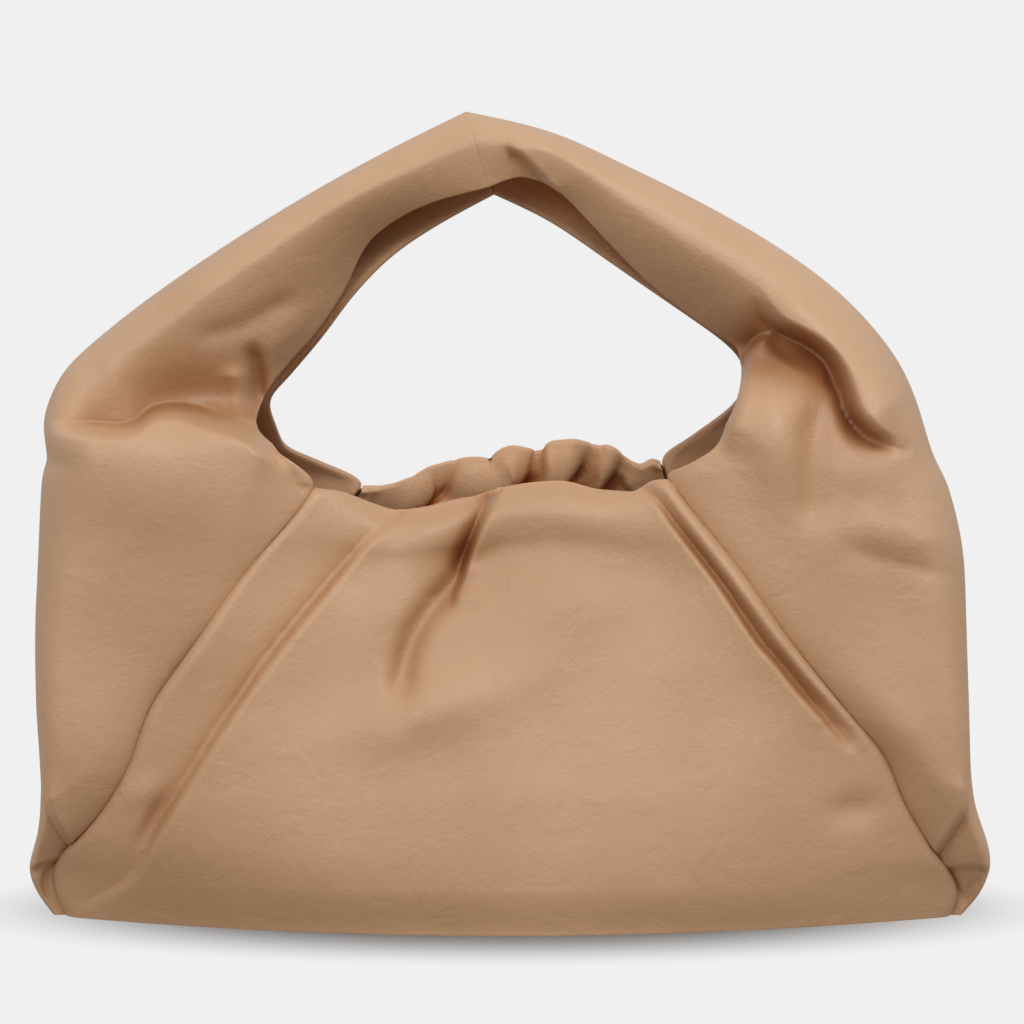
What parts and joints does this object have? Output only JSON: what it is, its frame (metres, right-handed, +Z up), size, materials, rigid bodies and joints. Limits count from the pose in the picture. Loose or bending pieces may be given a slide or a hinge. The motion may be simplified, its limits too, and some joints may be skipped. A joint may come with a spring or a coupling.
{
  "type": "cloud pouch bag",
  "caption": "Soft leather shoulder pouch whose side pieces rise and fold into a wide handle over a gathered open mouth.",
  "frame": {"origin": "centre of the underside of the base", "axes": "+X across the front to the right, -Y out of the front, +Z up"},
  "size_m": [0.43, 0.1653, 0.356],
  "materials": {
    "leather": "smooth tan nappa with a fine grain and a soft satin sheen",
    "facing_leather": "the same tan leather turned in and gathered",
    "base_leather": "plain tan leather, slightly stiffer"
  },
  "bodies": {
    "root": {"front_panel": "leather", "back_panel": "leather", "side_handle_left": "leather", "side_handle_right": "leather", "rim_facing_front": "facing_leather", "rim_facing_back": "facing_leather", "base_panel": "base_leather"}
  },
  "joints": []
}
